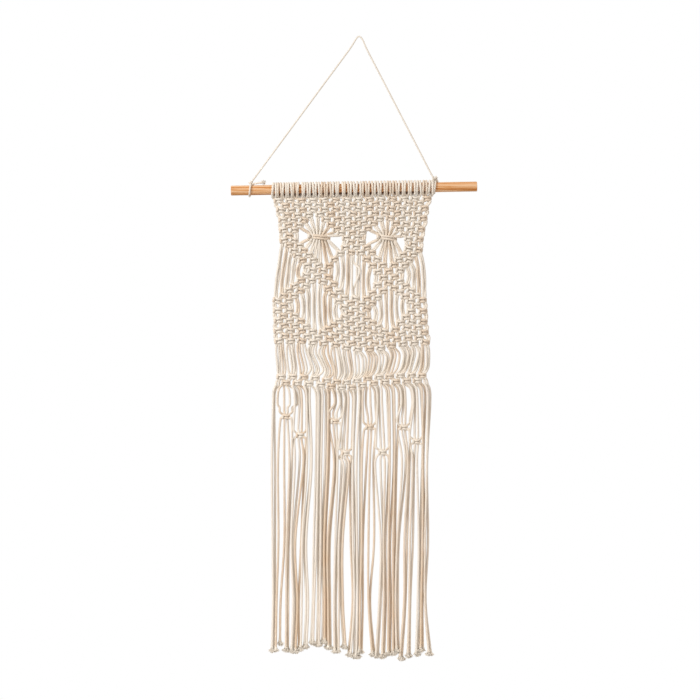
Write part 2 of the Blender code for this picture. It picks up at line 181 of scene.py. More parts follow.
# Two strands of the middle window that have twisted round each other, and where. Each is
# named with its window's middle line.
TANGLE = {(29, 14.0): (0.2, -2.0, -285.0), (30, 14.0): (-3.4, 1.4, -287.0)}
DANGLES = (Dangle(2, -89.3, -461.7), Dangle(4, -72.3, -484.4), Dangle(11, -29.9, -467.6),
           Dangle(13, -17.3, -505.8), Dangle(17, 12.1, -474.3), Dangle(19, 27.5, -505.0),
           Dangle(23, 53.2, -475.0), Dangle(25, 68.6, -491.8))
LOCKS = tuple(Lock(*row) for row in (
    (2, -104.6, -103.4, -105.0, -746.0), (1, -98.9, -100.2, -101.6, -745.0),
    (1, -91.9, -95.2, -96.6, -738.0), (2, -87.1, -88.0, -88.2, -745.5),
    (3, -79.8, -78.6, -80.0, -747.0), (2, -70.2, -72.0, -72.5, -744.5),
    (2, -65.2, -64.4, -65.6, -741.5), (2, -54.5, -55.6, -57.6, -737.0),
    (2, -48.8, -49.4, -50.5, -739.0), (2, -44.0, -43.8, -43.8, -736.0),
    (3, -38.2, -38.8, -37.8, -742.5), (3, -27.0, -28.5, -28.0, -746.5),
    (2, -21.5, -21.8, -18.5, -742.0), (2, -9.3, -7.8, -12.0, -751.5),
    (3, -3.2, -2.8, -4.2, -753.5), (2, 3.2, 2.0, 1.2, -748.0), (1, 11.2, 10.0, 14.8, -751.0),
    (1, 16.7, 13.4, 17.3, -750.0), (2, 26.6, 25.0, 21.0, -752.5),
    (2, 30.6, 29.8, 28.4, -753.5), (2, 36.4, 35.6, 35.6, -750.0),
    (2, 41.8, 41.4, 41.6, -749.5), (2, 46.0, 45.4, 45.8, -746.5),
    (2, 56.0, 54.4, 50.0, -756.0), (2, 62.6, 60.8, 59.4, -752.5),
    (2, 72.6, 71.4, 69.6, -750.5), (2, 77.0, 76.0, 75.2, -745.5),
    (2, 80.8, 79.4, 84.6, -750.0)))
FALLS = tuple(Fall(*row) for row in (
    (-105.0, -103.5, -106.0, -102.0), (-99.5, -91.5, -98.5, -91.0),
    (-84.5, -75.5, -85.5, -82.5), (-78.5, -73.0, -79.0, -73.5),
    (-70.0, -64.5, -69.0, -66.5), (-64.0, -62.0, -64.5, -60.0),
    (-60.5, -52.5, -59.0, -53.0), (-50.0, -47.0, -50.0, -48.0),
    (-45.0, -41.0, -46.5, -42.5), (-38.0, -36.5, -39.5, -38.0),
    (-30.5, -29.0, -31.5, -29.5), (-24.0, -22.0, -27.0, -21.5),
    (-18.5, -16.5, -20.0, -16.5), (-13.5, -8.0, -13.5, -12.0), (-6.5, -5.0, -8.5, -7.0),
    (-0.5, 1.0, -4.0, 1.5), (3.5, 7.5, 3.0, 7.5), (13.0, 19.0, 11.5, 17.5),
    (21.5, 23.5, 19.0, 26.0), (27.0, 33.5, 30.0, 34.5), (36.0, 40.5, 36.0, 40.5),
    (42.0, 47.5, 42.0, 44.5), (50.5, 53.0, 52.0, 56.0), (55.5, 64.0, 57.5, 60.5),
    (65.0, 67.0, 63.5, 66.5), (70.0, 75.0, 69.5, 75.0), (76.0, 79.5, 76.5, 78.0),
    (82.5, 85.5, 81.0, 82.5)))
# The slit to the left of a strand, with the net's own edges as the first and last.
SLITS = tuple(Slit(*row) for row in (
    (0, -103.6, -102.6), (5, -86.5, -83.8), (8, -77.2, -74.7), (11, -66.3, -62.0),
    (15, -55.4, -46.5), (19, -40.2, -33.8), (22, -28.3, -26.3), (26, -14.8, -12.0),
    (28, -8.1, -6.9), (30, 1.0, 1.0), (34, 16.7, 14.3), (36, 22.5, 20.6), (38, 30.4, 28.8),
    (40, 36.7, 33.7), (42, 41.9, 37.9), (43, 45.5, 42.8), (44, 50.6, 48.2),
    (50, 70.0, 65.2), (54, 78.5, 79.7), (56, 86.4, 84.6)))
TIES = (
    Tie("left_tie", "hanger_knot_left", -132.0, 12.5, 1.9, 2.8, 1, (0.9, -0.1, 0.25), 0.8),
    Tie("right_tie", "hanger_knot_right", 90.4, -1.2, 0.3, 2.6, 2, (0.35, -0.4, 0.8), 1.15),
)
# The hanging cord's bend over the nail.
CROWN: Places = ((-4.5, 0.0, -4.32), (-0.6, 0.0, -1.0), (3.72, 0.0, -5.4))
# A tie's knot before and after its turns round the dowel, from the middle of the knot.
TIE_START: Places = ((0.4, 0.0, 1.9), (-1.2, -1.1, 0.7))
TIE_KNOT: Places = ((1.7, 1.0, -0.2), (1.0, -1.4, 1.2), (-1.7, -0.6, 1.0), (-0.8, 1.4, -0.2),
                    (1.6, 0.2, -0.9))
# The heights at which the falls are given, and then the locks.
UPPER_FALL_Z = -446.0
LOWER_FALL_Z = -520.3
UPPER_Z = -611.0
KNEE_Z = -684.0
FIRST_HITCH = -103.2
HITCH_RUNS = (HitchRun(5, 6.25), HitchRun(7, 6.95), HitchRun(15, 7.3))
# The hitches whose two legs stand further apart than the others'.
OPEN_HITCHES = {5: 0.95, 12: 0.95, 13: 0.3, 15: 0.4, 17: 0.3, 19: 0.4, 22: 0.45, 23: 0.4,
                24: 0.4}


# ------------------------------------------------------------------ small helpers

def mm(x: float, y: float, z: float) -> Vector:
    """Return a place or a step that is given in millimetres."""
    return Vector((x * MM, y * MM, z * MM))


def up(height: float) -> Vector:
    """Return a step upwards."""
    return Vector((0.0, 0.0, height))


def side(strand: int) -> int:
    """Return -1 for the left strand of a cord and 1 for the right one."""
    return -1 if strand % 2 == 0 else 1


def wander(luck: random.Random, reach: float) -> Vector:
    """Return a small random step across and in depth."""
    return Vector((luck.uniform(-1, 1), luck.uniform(-1, 1), 0.0)) * reach


def blend(start: float, end: float, share: float) -> float:
    """Return the number that lies a share of the way from start to end."""
    return start + (end - start) * share


def bell(place: float, middle: float, width: float) -> float:
    """Return the height of a bell curve at a place, which is 1 in its middle."""
    return math.exp(-((place - middle) / width) ** 2)


def own_luck(line: int, row: int, seed: int = 0) -> random.Random:
    """Return a knot's own source of unevenness, which all its strands share."""
    return random.Random(seed + 100 * line + row)


def length_of(path: Sequence[Vector]) -> float:
    """Return the length of a path."""
    return sum((b - a).length for a, b in zip(path, path[1:]))


def linear_colour(code: str) -> tuple[float, float, float, float]:
    """Turn an sRGB hex colour into linear RGBA.

    Args:
        code: Six hex digits with a leading #.

    Returns:
        The colour as Blender's shaders take it.
    """
    parts = [int(code[i:i + 2], 16) / 255 for i in (1, 3, 5)]
    linear = [p / 12.92 if p <= 0.04045 else ((p + 0.055) / 1.055) ** 2.4 for p in parts]
    return (*linear, 1.0)


def add_node(tree: bpy.types.NodeTree, kind: str, **values: Any) -> bpy.types.Node:
    """Add a node to a tree.

    Args:
        tree: The node tree.
        kind: The node's type name.
        **values: The node's own settings in lower case, such as operation. Its sockets by
            name, with _ for a space, or as s0, s1 by number, each with a value to hold, an
            output socket to link, or a node whose first output is linked.

    Returns:
        The new node.
    """
    node = tree.nodes.new(kind)
    for name, value in values.items():
        numbered = name[1:].isdigit()
        if name.islower() and not numbered:
            setattr(node, name, value)
            continue
        socket = node.inputs[int(name[1:]) if numbered else name.replace("_", " ")]
        if isinstance(value, bpy.types.Node):
            value = value.outputs[0]
        if isinstance(value, bpy.types.NodeSocket):
            tree.links.new(value, socket)
        else:
            socket.default_value = value
    return node


def new_finish(name: str) -> tuple[bpy.types.Material, AddNode]:
    """Start a material.

    Args:
        name: The material's name.

    Returns:
        The material with an empty tree, and the function that adds a node to it.
    """
    finish = bpy.data.materials.new(name)
    finish.use_nodes = True
    finish.node_tree.nodes.clear()
    return finish, partial(add_node, finish.node_tree)


def new_object(name: str, data: bpy.types.ID) -> bpy.types.Object:
    """Add an object to the scene.

    Args:
        name: The object's name.
        data: Its mesh, curve, light or camera.

    Returns:
        The object, at the origin.
    """
    item = bpy.data.objects.new(name, data)
    bpy.context.collection.objects.link(item)
    return item


def smooth_path(points: Sequence[Vector], step: float) -> list[Vector]:
    """Run a Catmull-Rom curve through points.

    Args:
        points: The route's own points.
        step: About how far apart the result's points are.

    Returns:
        The points of the smooth path.
    """
    padded = [2 * points[0] - points[1], *points, 2 * points[-1] - points[-2]]
    path = [points[0]]
    for a, b, c, d in zip(padded, padded[1:], padded[2:], padded[3:]):
        count = max(1, round((c - b).length / step))
        for k in range(1, count + 1):
            t = k / count
            path.append(0.5 * (2 * b + (c - a) * t + (2 * a - 5 * b + 4 * c - d) * t ** 2
                               + (3 * b - a - 3 * c + d) * t ** 3))
    return path


def spread(places: Iterable[float], spacing: float, rounds: int = 200) -> list[float]:
    """Move places apart in their order.

    Args:
        places: Positions along a line.
        spacing: The least distance between neighbours.
        rounds: How often all neighbours are looked at.

    Returns:
        The moved positions.
    """
    moved = list(places)
    for _ in range(rounds):
        for i in range(len(moved) - 1):
            lack = spacing - (moved[i + 1] - moved[i])
            if lack > 0:
                moved[i] -= lack / 2
                moved[i + 1] += lack / 2
    return moved


def finished(source: bpy.types.Object, name: str) -> bpy.types.Object:
    """Turn an object with live modifiers into a plain mesh object.

    Args:
        source: The object that carries the Geometry Nodes modifier. It is removed.
        name: The name of the finished piece.

    Returns:
        The piece, at the origin, with its place in its mesh.
    """
    graph = bpy.context.evaluated_depsgraph_get()
    mesh = bpy.data.meshes.new_from_object(source.evaluated_get(graph), depsgraph=graph)
    bpy.data.objects.remove(source, do_unlink=True)
    mesh.name = name
    return new_object(name, mesh)


# ------------------------------------------------------------------ finishes

@dataclass(frozen=True)
class CottonFinish:
    """Undyed combed cotton, spun soft and twisted in three plies: matt, with a faint fuzz."""

    name: str = "undyed twisted cotton"
    light: str = "#F0EAE0"
    deep: str = "#E1CAAF"
    deep_share: float = 0.35
    roughness: float = 0.92
    specular: float = 0.2
    sheen: float = 0.18
    sheen_roughness: float = 0.6
    girth: float = 9.0 * MM
    fibre: float = 0.35 * MM
    fibre_run: float = 4.0 * MM
    fibre_detail: float = 3.0
    fibre_tone: float = 0.5
    cord_change: float = 40.0
    patches_per_metre: float = 60.0
    patch_detail: float = 2.0
    patch_tone: float = 0.4
    bump_height: float = 0.25 * MM
    bump_strength: float = 0.25
    fringe_shade_from: float = -430.0 * MM
    fringe_shade_full: float = -700.0 * MM
    fringe_shade_tone: float = 0.24

    def material(self) -> bpy.types.Material:
        """Build the material, with its fibres running along each cord's own coordinates.

        Returns:
            The cotton.
        """
        finish, add = new_finish(self.name)
        along, around, shade = (
            add("ShaderNodeAttribute", attribute_name=name).outputs["Fac"]
            for name in ("along", "around", "shade"))
        on_cord = add("ShaderNodeCombineXYZ", X=around, Y=along, Z=shade)
        place = add("ShaderNodeTexCoord").outputs["Object"]
        # Fibres: long streaks, a third of a millimetre wide, drawn out along the cord.
        stretch = add("ShaderNodeMapping", Vector=on_cord, Scale=(
            self.girth / self.fibre, 1 / self.fibre_run, self.cord_change))
        fibres = add("ShaderNodeTexNoise", Vector=stretch, Scale=1.0,
                     Detail=self.fibre_detail)
        # Patches: one cord is a little lighter here and darker there, as raw cotton is.
        patches = add("ShaderNodeTexNoise", Vector=place, Scale=self.patches_per_metre,
                      Detail=self.patch_detail)
        # Painted shade: the fringe is a shade darker towards its cut ends, where its strands
        # lie in less light.
        height = add("ShaderNodeSeparateXYZ", Vector=place).outputs["Z"]
        painted_fringe_shade = add("ShaderNodeMapRange", Value=height, From_Min=self.fringe_shade_from,
                      From_Max=self.fringe_shade_full, To_Max=-self.fringe_shade_tone)
        tone = shade
        for part, weight in ((fibres, self.fibre_tone), (patches, self.patch_tone),
                             (painted_fringe_shade, 1.0)):
            tone = add("ShaderNodeMath", operation="MULTIPLY_ADD", s0=part, s1=weight,
                       s2=tone)
        ramp = add("ShaderNodeValToRGB", Fac=tone)
        tones = ((self.deep_share, self.deep), (1.0, self.light))
        for stop, (share, code) in zip(ramp.color_ramp.elements, tones):
            stop.position = share
            stop.color = linear_colour(code)
        bump = add("ShaderNodeBump", Height=fibres, Distance=self.bump_height,
                   Strength=self.bump_strength)
        shader = add("ShaderNodeBsdfPrincipled", Base_Color=ramp, Normal=bump,
                     Roughness=self.roughness, Specular_IOR_Level=self.specular,
                     Sheen_Weight=self.sheen, Sheen_Roughness=self.sheen_roughness)
        add("ShaderNodeOutputMaterial", Surface=shader)
        return finish


@dataclass(frozen=True)
class WoodFinish:
    """Sanded pine dowel without varnish: long orange-brown streaks, dull and a little dry."""

    name: str = "sanded pine"
    tones: tuple[tuple[float, str], ...] = ((0.5, "#B56C2A"), (0.58, "#D59E68"),
                                            (0.68, "#E4BE98"))
    painted_shade_colour: str = "#5A240A"
    roughness: float = 0.6
    specular: float = 0.15
    grain_width: float = 2.1 * MM
    grain_length: float = 85.0 * MM
    streak_scale: float = 0.7
    streak_detail: float = 4.0
    streak_wave: float = 0.4
    pore_scale: float = 6.0
    pore_detail: float = 2.0
    pore_tone: float = 0.25
    bump_height: float = 0.2 * MM
    bump_strength: float = 0.5
    painted_shade_from: float = 0.66
    painted_shade_full: float = 0.92
    covered_middle: float = -8.5 * MM
    covered_half: float = 95.0 * MM
    covered_edge: float = 2.0 * MM

    def material(self) -> bpy.types.Material:
        """Build the material, with the grain along the dowel.

        Returns:
            The wood.
        """
        finish, add = new_finish(self.name)
        place = add("ShaderNodeTexCoord").outputs["Object"]
        across = 1 / self.grain_width
        grain = add("ShaderNodeMapping", Vector=place,
                    Scale=(1 / self.grain_length, across, across))
        # Streaks: early and late wood. Pores: the short dark lines that sanding leaves open.
        streaks = add("ShaderNodeTexNoise", Vector=grain, Scale=self.streak_scale,
                      Detail=self.streak_detail, Distortion=self.streak_wave)
        pores = add("ShaderNodeTexNoise", Vector=grain, Scale=self.pore_scale,
                    Detail=self.pore_detail)
        tone = add("ShaderNodeMath", operation="MULTIPLY_ADD", s0=pores, s1=self.pore_tone,
                   s2=streaks)
        ramp = add("ShaderNodeValToRGB", Fac=tone)
        ramp.color_ramp.elements.new(self.tones[1][0])
        for stop, (share, code) in zip(ramp.color_ramp.elements, self.tones):
            stop.position = share
            stop.color = linear_colour(code)
        # Painted shade: the wood's lower edge between the hitches is mixed towards a deep
        # brown, for the shadow that falls there.
        with_painted_shade = add("ShaderNodeMix", data_type="RGBA", blend_type="MIX",
                       s0=self._painted_shade_mask(add, place), s6=ramp,
                       s7=linear_colour(self.painted_shade_colour))
        bump = add("ShaderNodeBump", Height=tone, Distance=self.bump_height,
                   Strength=self.bump_strength)
        shader = add("ShaderNodeBsdfPrincipled", Base_Color=with_painted_shade.outputs[2], Normal=bump,
                     Roughness=self.roughness, Specular_IOR_Level=self.specular)
        add("ShaderNodeOutputMaterial", Surface=shader)
        return finish

    def _painted_shade_mask(self, add: AddNode, place: bpy.types.NodeSocket) -> bpy.types.Node:
        """Mark where shade is painted on the wood: its lower edge between the hitches.

        Args:
            add: The function that adds a node to the material.
            place: The socket that gives the place on the wood.

        Returns:
            A node that runs from 0 where no shade is painted to 1 where the painted shade is
            darkest.
        """
        dowel = Dowel()
        spot = add("ShaderNodeSeparateXYZ", Vector=place).outputs
        height = add("ShaderNodeMath", operation="MULTIPLY_ADD", s0=spot["X"],
                     s1=-math.tan(dowel.tilt), s2=spot["Z"])
        low = add("ShaderNodeMapRange", Value=height,
                  From_Min=dowel.centre(0.0) - self.painted_shade_from * dowel.radius,
                  From_Max=dowel.centre(0.0) - self.painted_shade_full * dowel.radius)
        aside = add("ShaderNodeMath", operation="SUBTRACT", s0=spot["X"],
                    s1=self.covered_middle)
        away = add("ShaderNodeMath", operation="ABSOLUTE", s0=aside)
        covered = add("ShaderNodeMapRange", Value=away, From_Min=self.covered_half,
                      From_Max=self.covered_half - self.covered_edge)
        return add("ShaderNodeMath", operation="MULTIPLY", s0=low, s1=covered)


# ------------------------------------------------------------------ cord making

class Lay(NamedTuple):
    """How a cord is laid: its radius, a twist's length, its grooves' depth and its sides."""

    radius: float
    twist: float
    groove: float
    sides: int


class Ply(Enum):
    """The kinds of cord, and the loose fibre of a frayed end."""

    MACRAME = Lay(1.5 * MM, 9.0 * MM, 0.035, 9)
    HANGING = Lay(0.98 * MM, 6.0 * MM, 0.06, 9)
    TIE = Lay(1.12 * MM, 6.0 * MM, 0.06, 9)
    FIBRE = Lay(0.26 * MM, 9.0 * MM, 0.0, 4)


class CordTree:
    """The Geometry Nodes tree that lays three twisted plies along a path."""

    def __init__(self, finish: bpy.types.Material) -> None:
        """Build the tree for one finish.

        Args:
            finish: The material that its cords get.
        """
        self.finish = finish
        self.tree = bpy.data.node_groups.new("twisted cord", "GeometryNodeTree")
        self._interface()
        self._nodes()

    def _interface(self) -> None:
        """Name the tree's sockets."""
        face = self.tree.interface
        face.new_socket("Geometry", in_out="OUTPUT", socket_type="NodeSocketGeometry")
        for kind, names in (("Geometry", ("Geometry",)), ("Int", ("Sides",)),
                            ("Float", ("Radius", "Twist length", "Groove", "Step", "Shade")),
                            ("Material", ("Finish",))):
            for name in names:
                face.new_socket(name, in_out="INPUT", socket_type="NodeSocket" + kind)

    def _nodes(self) -> None:
        """Lay out the tree: resample, twist, sweep the grooved section, dress."""
        add = partial(add_node, self.tree)
        given = add("NodeGroupInput").outputs
        path = add("GeometryNodeResampleCurve", mode="LENGTH", Curve=given["Geometry"],
                   Length=given["Step"])
        far = add("GeometryNodeSplineParameter").outputs["Length"]
        turns = add("ShaderNodeMath", operation="DIVIDE", s0=far, s1=given["Twist length"])
        angle = add("ShaderNodeMath", operation="MULTIPLY", s0=turns, s1=math.tau)
        marked = add("GeometryNodeSetCurveTilt", Curve=path, Tilt=angle)
        for name, value in (("along", far), ("shade", given["Shade"])):
            marked = add("GeometryNodeStoreNamedAttribute", data_type="FLOAT",
                         Geometry=marked, Name=name, Value=value)
        swept = add("GeometryNodeCurveToMesh", Curve=marked, Fill_Caps=True,
                    Profile_Curve=self._section(add, given))
        smooth = add("GeometryNodeSetShadeSmooth", Geometry=swept)
        real = add("GeometryNodeRealizeInstances", Geometry=smooth)
        dressed = add("GeometryNodeSetMaterial", Geometry=real, Material=given["Finish"])
        add("NodeGroupOutput", Geometry=dressed)

    def _section(self, add: AddNode, given: Any) -> bpy.types.Node:
        """Make the cord's section, a circle with a groove between each two plies.

        Args:
            add: The function that adds a node to the tree.
            given: The tree's input sockets.

        Returns:
            The node that gives the section curve.
        """
        circle = add("GeometryNodeCurvePrimitiveCircle", Resolution=given["Sides"],
                     Radius=given["Radius"])
        share = add("GeometryNodeSplineParameter").outputs["Factor"]
        angle = add("ShaderNodeMath", operation="MULTIPLY", s0=share, s1=PLIES * math.tau)
        wave = add("ShaderNodeMath", operation="COSINE", s0=angle)
        depth = add("ShaderNodeMath", operation="MULTIPLY", s0=wave, s1=given["Groove"])
        size = add("ShaderNodeMath", operation="SUBTRACT", s0=1.0, s1=depth)
        moved = add("ShaderNodeVectorMath", operation="SCALE",
                    s0=add("GeometryNodeInputPosition"), Scale=size)
        shaped = add("GeometryNodeSetPosition", Geometry=circle, Position=moved)
        return add("GeometryNodeStoreNamedAttribute", data_type="FLOAT", Geometry=shaped,
                   Name="around", Value=share)

    def lay(self, name: str, paths: Sequence[Sequence[Vector]], ply: Ply, step: float,
            shade: float,
            thickness: Callable[[Vector], float] = lambda place: 1.0) -> bpy.types.Object:
        """Lay a cord along each path and join them in one piece.

        Args:
            name: The piece's name.
            paths: The points of each cord's centre line.
            ply: The kind of cord.
            step: The distance between two sections.
            shade: How light this cord is, from 0 to 1.
            thickness: The share of its thickness that the cord keeps at a place.

        Returns:
            The finished mesh object.
        """
        line = bpy.data.curves.new(name + "_path", "CURVE")
        line.dimensions = "3D"
        for path in paths:
            spline = line.splines.new("POLY")
            spline.points.add(len(path) - 1)
            for point, place in zip(spline.points, path):
                point.co = (*place, 1.0)
                point.radius = thickness(place)
        source = new_object(name + "_path", line)
        nodes = source.modifiers.new("twisted cord", "NODES")
        nodes.node_group = self.tree
        made = ply.value
        values = {"Radius": made.radius, "Twist length": made.twist, "Groove": made.groove,
                  "Sides": made.sides, "Step": step, "Shade": shade, "Finish": self.finish}
        for item in self.tree.interface.items_tree:
            if item.in_out == "INPUT" and item.name in values:
                nodes[item.identifier] = values[item.name]
        return finished(source, name)


# ------------------------------------------------------------------ the dowel

@dataclass
class Dowel:
    """The wooden dowel, whose shape comes from the frame."""

    middle: Vector = field(default_factory=lambda: mm(-6.9, 0.0, -185.4))
    radius: float = 6.0 * MM
    tilt: float = math.radians(0.95)

    def centre(self, x: float) -> float:
        """Return the z of the dowel's axis at x."""
        return self.middle.z + (x - self.middle.x) * math.tan(self.tilt)

    def dress(self, node: bpy.types.Object, finish: bpy.types.Material) -> None:
        """Give the frame's own dowel its wood."""
        node.data.materials.clear()
        node.data.materials.append(finish)


# ------------------------------------------------------------------ square knots

@dataclass(frozen=True)
class KnotShape:
    """A tied square knot: half its width and height, and how far its cords stand proud.

    The first worker crosses the front twice, as an upper and a lower bar. The second one
    passes behind both times and stands up in front at the left, as the knot's bump.
    """

    half_width: float
    half_height: float
    front: float = 2.6 * MM
    back: float = 2.6 * MM

    # The upper half of each strand's turns: the left worker, two cores and the right worker.
    # They are in halves of the width and height and in parts of the depth, where a negative
    # depth is in front. The lower half mirrors them.
    TURNS = (((-0.8, 0.74, -0.05), (-0.35, 0.5, -0.75), (0.25, 0.5, -1.02), (0.8, 0.56, -0.6),
              (1.04, 0.32, 0.3), (0.98, 0.0, 0.75)),
             ((-0.36, 0.85, 0.0), (-0.34, 0.0, 0.0)),
             ((0.36, 0.85, 0.0), (0.34, 0.0, 0.0)),
             ((0.92, 0.84, -0.55), (0.5, 0.62, 0.55), (-0.1, 0.52, 1.0), (-0.75, 0.62, 0.5),
              (-1.06, 0.5, -0.6), (-0.98, 0.2, -1.16)))

    def points(self, centre: Vector, strand: int, roll: float = 0.0) -> list[Vector]:
        """Return one strand's points through the knot.

        Args:
            centre: The knot's middle.
            strand: Which of its four strands, from the left.
            roll: The angle by which the knot is turned to the right, as seen from the front.

        Returns:
            The points, from the top down.
        """
        upper = self.TURNS[strand]
        lower = [(across, -rise, deep) for across, rise, deep in reversed(upper) if rise > 0]
        points = []
        for across, rise, deep in (*upper, *lower):
            depth = deep * (self.front if deep < 0 else self.back)
            offset = Vector((across * self.half_width, depth, rise * self.half_height))
            points.append(centre + Matrix.Rotation(roll, 3, "Y") @ offset)
        return points


# ------------------------------------------------------------------ the net

@dataclass
class Net:
    """The knotted net: where its strands run, from the dowel to the band."""

    dowel: Dowel
    columns: int = 28
    rows: int = 29
    sag_column: float = 16.0
    sag_width: float = 6.0
    band_rows: tuple[int, ...] = (1, 3)
    band_sag_column: float = 12.5
    band_sag_width: float = 5.0
    band_drift: float = 2.2 * MM
    drift_column: float = 8.5
    drift_width: float = 3.5
    sway: float = 0.5 * MM
    knot_share: float = 0.66
    knot_rise: float = 1.26
    knot_half_height: float = 3.8 * MM
    knot_drift: float = 0.5 * MM
    drift_depth: float = 0.6
    knot_roll: float = math.radians(13)
    band_knot: KnotShape = KnotShape(half_width=4.4 * MM, half_height=3.1 * MM)
    waist_rise: float = 2.4 * MM
    waist_depth: float = 1.3 * MM
    waist_knot_half_height: float = 3.0 * MM
    waist_knot_depth: float = 4.2 * MM
    bundle_width: float = 0.9
    slit_falls: tuple[float, float] = (0.22, 0.76)
    hitch_half: float = 1.5 * MM
    hitch_flare: float = 0.95 * MM
    hitch_lean: float = 0.3 * MM
    hitch_clearance: float = 0.2 * MM
    hitch_angles: tuple[int, ...] = (-25, 20, 65, 105, 150, 190, 215)
    leg_drop: float = 2.6 * MM
    leg_share: float = 0.9
    foot_front: float = 0.5
    foot_drop: float = 0.92
    bar_back: float = 0.6
    edge_inset: float = 1.3 * MM
    pair_gap: float = 2.3 * MM
    pair_depth: float = 1.3 * MM
    rows_per_point: int = 3
    bow: float = 1.9 * MM
    tangle_rise: float = 6.0 * MM
    top: float = -199.0 * MM
    foot: float = -378.0 * MM
    taper: float = 4.0 * MM
    draw: float = 0.15
    windows: dict[tuple[int, int], tuple[float, float]] = field(default_factory=dict)

    def __post_init__(self) -> None:
        """Work out which knots the windows leave out, and each one's window."""
        for window in WINDOWS:
            rows = list(zip(window.firsts, window.lasts))
            first, last = max(rows, key=lambda ends: ends[1] - ends[0])
            for row, ends in enumerate(rows, window.top):
                for line in range(ends[0], ends[1] + 1, 2):
                    self.windows[(line, row)] = ((first + last) / 2, (last - first) / 2 + 1)

    @staticmethod
    def level_at(levels: Sequence[Level], row: float) -> Level:
        """Read a table of levels at any row.

        Args:
            levels: The table, from the top down.
            row: The row, which may lie between two of the table's.

        Returns:
            The level there.
        """
        for upper, lower in zip(levels, levels[1:]):
            if row <= lower.row:
                share = (row - upper.row) / (lower.row - upper.row)
                return Level(*(blend(a, b, share) for a, b in zip(upper, lower)))
        return levels[-1]

    def lattice(self, line: float, row: float) -> Vector:
        """Return the place where a column line meets a row of the net."""
        return self._place(NET_LEVELS, line, row, self.sag_column, self.sag_width)

    def band(self, line: float, row: float) -> Vector:
        """Return the place where a column line meets a row of the band.

        Args:
            line: The column line, from the left.
            row: The row, from the band's top.

        Returns:
            The place.
        """
        place = self._place(BAND_LEVELS, line, row, self.band_sag_column, self.band_sag_width)
        place.x += self.band_drift * bell(line, self.drift_column, self.drift_width)
        return place

    def _place(self, levels: Sequence[Level], line: float, row: float, sag_column: float,
               sag_width: float) -> Vector:
        """Work out a place of a sagging lattice.

        Args:
            levels: The lattice's table of levels.
            line: The column line, from the left.
            row: The row, from the top.
            sag_column: The column line where it sags most.
            sag_width: How many columns away the sag has faded.

        Returns:
            The place.
        """
        level = self.level_at(levels, row)
        share = line / self.columns
        sag = level.sag * bell(line, sag_column, sag_width)
        return mm(blend(level.left, level.right, share), 0.0,
                  blend(level.z_left, level.z_right, share) - sag)

    def thickness(self, place: Vector) -> float:
        """Return the share of its thickness that a cord keeps: it is drawn tight in the net."""
        inside = min(self.top - place.z, place.z - self.foot) / self.taper
        return 1.0 - self.draw * min(max(inside, 0.0), 1.0)

    def site(self, column: int, row: int) -> int:
        """Return the column line whose knot would take a column's pair at a row."""
        return column if (column - row) % 2 == 0 else column + 1

    def knot_at(self, column: int, row: int) -> int | None:
        """Return the column line of the knot that holds a column at a row, or None."""
        line = self.site(column, row)
        return line if 0 < line < self.columns and (line, row) not in self.windows else None

    def hitch_places(self) -> list[float]:
        """Return the x of the middle of each hitch on the dowel."""
        pitches = (run.pitch * MM for run in HITCH_RUNS for _ in range(run.count))
        return list(accumulate(pitches, initial=FIRST_HITCH * MM))

    def knot_shape(self, line: int, row: int) -> KnotShape:
        """Size a knot to the lattice around it.

        Args:
            line: The knot's column line.
            row: Its row.

        Returns:
            The knot's shape.
        """
        width = (self.lattice(line + 1, row) - self.lattice(line - 1, row)).x / 2
        height = (self.lattice(line, row - 0.5) - self.lattice(line, row + 0.5)).z / 2
        return KnotShape(half_width=width * self.knot_share,
                         half_height=min(height * self.knot_rise, self.knot_half_height))

    def strand_route(self, strand: int, luck: random.Random) -> list[Vector]:
        """Return a strand's points from under the dowel to under the band.

        Args:
            strand: The strand's number, from the left.
            luck: The seeded source of the small unevenness.

        Returns:
            The route's points, from the top down.
        """
        column = strand // 2
        held = [row for row in range(1, self.rows + 1) if self.knot_at(column, row)]
        route: list[Vector] = []
        for above, row in zip([0, *held], held):
            line = self.knot_at(column, row)
            if row - above > 2:
                route += self._free_run(strand, above, row, luck)
            elif row - above == 2 and self.site(column, above + 1) in (0, self.columns):
                route.append(self._edge_turn(strand, above + 1))
            centre = self.lattice(line, row) + self._unevenness(line, row)
            roll = own_luck(line, row, ROLL_SEED).uniform(-1, 1) * self.knot_roll
            route += self.knot_shape(line, row).points(centre, strand - (2 * line - 2), roll)
        route += self._spacer(strand, luck)
        # The band's two rows sit on odd and then on even column lines, as the net's do.
        for odd, row in zip((1, 0), self.band_rows):
            line = self.site(column, odd)
            if 0 < line < self.columns:
                centre = self.band(line, row) + self._unevenness(line, self.rows + row)
                route += self.band_knot.points(centre, strand - (2 * line - 2))
            else:
                route.append(self.band((strand + 0.5) / 2, row))
        return route

    def _unevenness(self, line: int, row: int) -> Vector:
        """Find how far one knot sits from its place in the lattice, the same each time.

        Args:
            line: The knot's column line.
            row: Its row.

        Returns:
            The step to its place.
        """
        luck = own_luck(line, row)
        x, y, z = (luck.uniform(-1, 1) for _ in range(3))
        return Vector((x, self.drift_depth * y, z)) * self.knot_drift

    def _edge_turn(self, strand: int, row: int) -> Vector:
        """Find where a strand turns back at the net's edge, between two knots.

        Args:
            strand: The strand's number.
            row: The row that has no knot for it.

        Returns:
            The place.
        """
        line = self.site(strand // 2, row)
        inward, rank = (1, strand) if line == 0 else (-1, 2 * self.columns - 1 - strand)
        inset = self.edge_inset + rank * self.pair_gap
        return self.lattice(line, row) + Vector((inward * inset, rank * self.pair_depth, 0.0))

    def _pair_offset(self, strand: int) -> Vector:
        """Return where a strand hangs beside the other one of its cord."""
        return Vector((self.pair_gap, self.pair_depth, 0.0)) * (side(strand) / 2)

